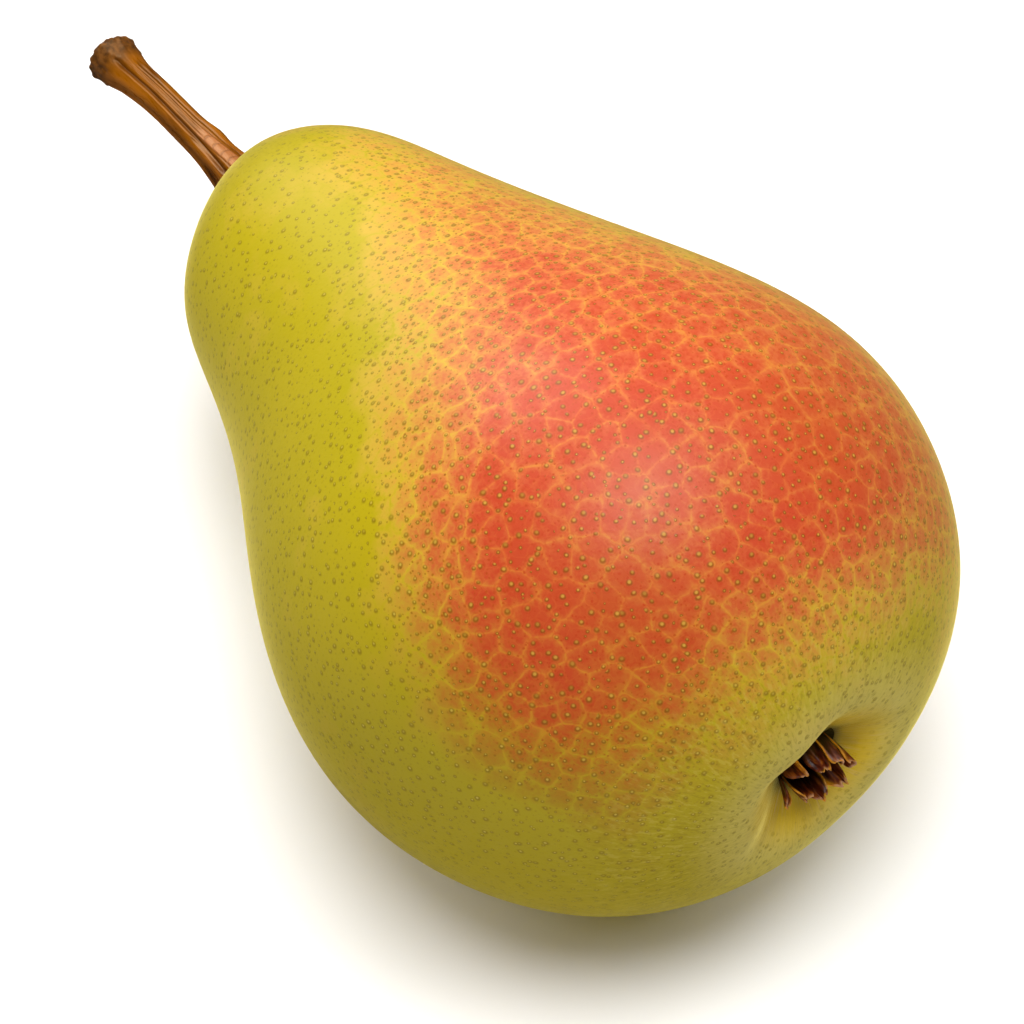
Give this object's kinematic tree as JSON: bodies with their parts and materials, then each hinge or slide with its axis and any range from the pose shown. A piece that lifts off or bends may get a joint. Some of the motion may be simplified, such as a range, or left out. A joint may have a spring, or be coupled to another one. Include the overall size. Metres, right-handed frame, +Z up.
{
  "type": "pear",
  "caption": "Ripe pear lying on its side: a round belly that tapers to a blunt neck, a woody stem with a knobbed head, and dried sepals in a small basin.",
  "frame": {"origin": "on the surface that the pear lies on, under the middle of the whole pear's extents", "axes": "+Z up; +X along the pear towards the calyx end, with the stem towards -X; the flat spot that it rests on lies in the plane Z = 0"},
  "size_m": [0.123, 0.0682, 0.068],
  "materials": {
    "pear_skin": "satin, waxy skin",
    "stem_wood": "satin, ribbed",
    "dried_calyx": "dry, matte"
  },
  "bodies": {
    "root": {"fruit": "pear_skin", "stem": "stem_wood", "calyx": "dried_calyx"}
  },
  "joints": []
}
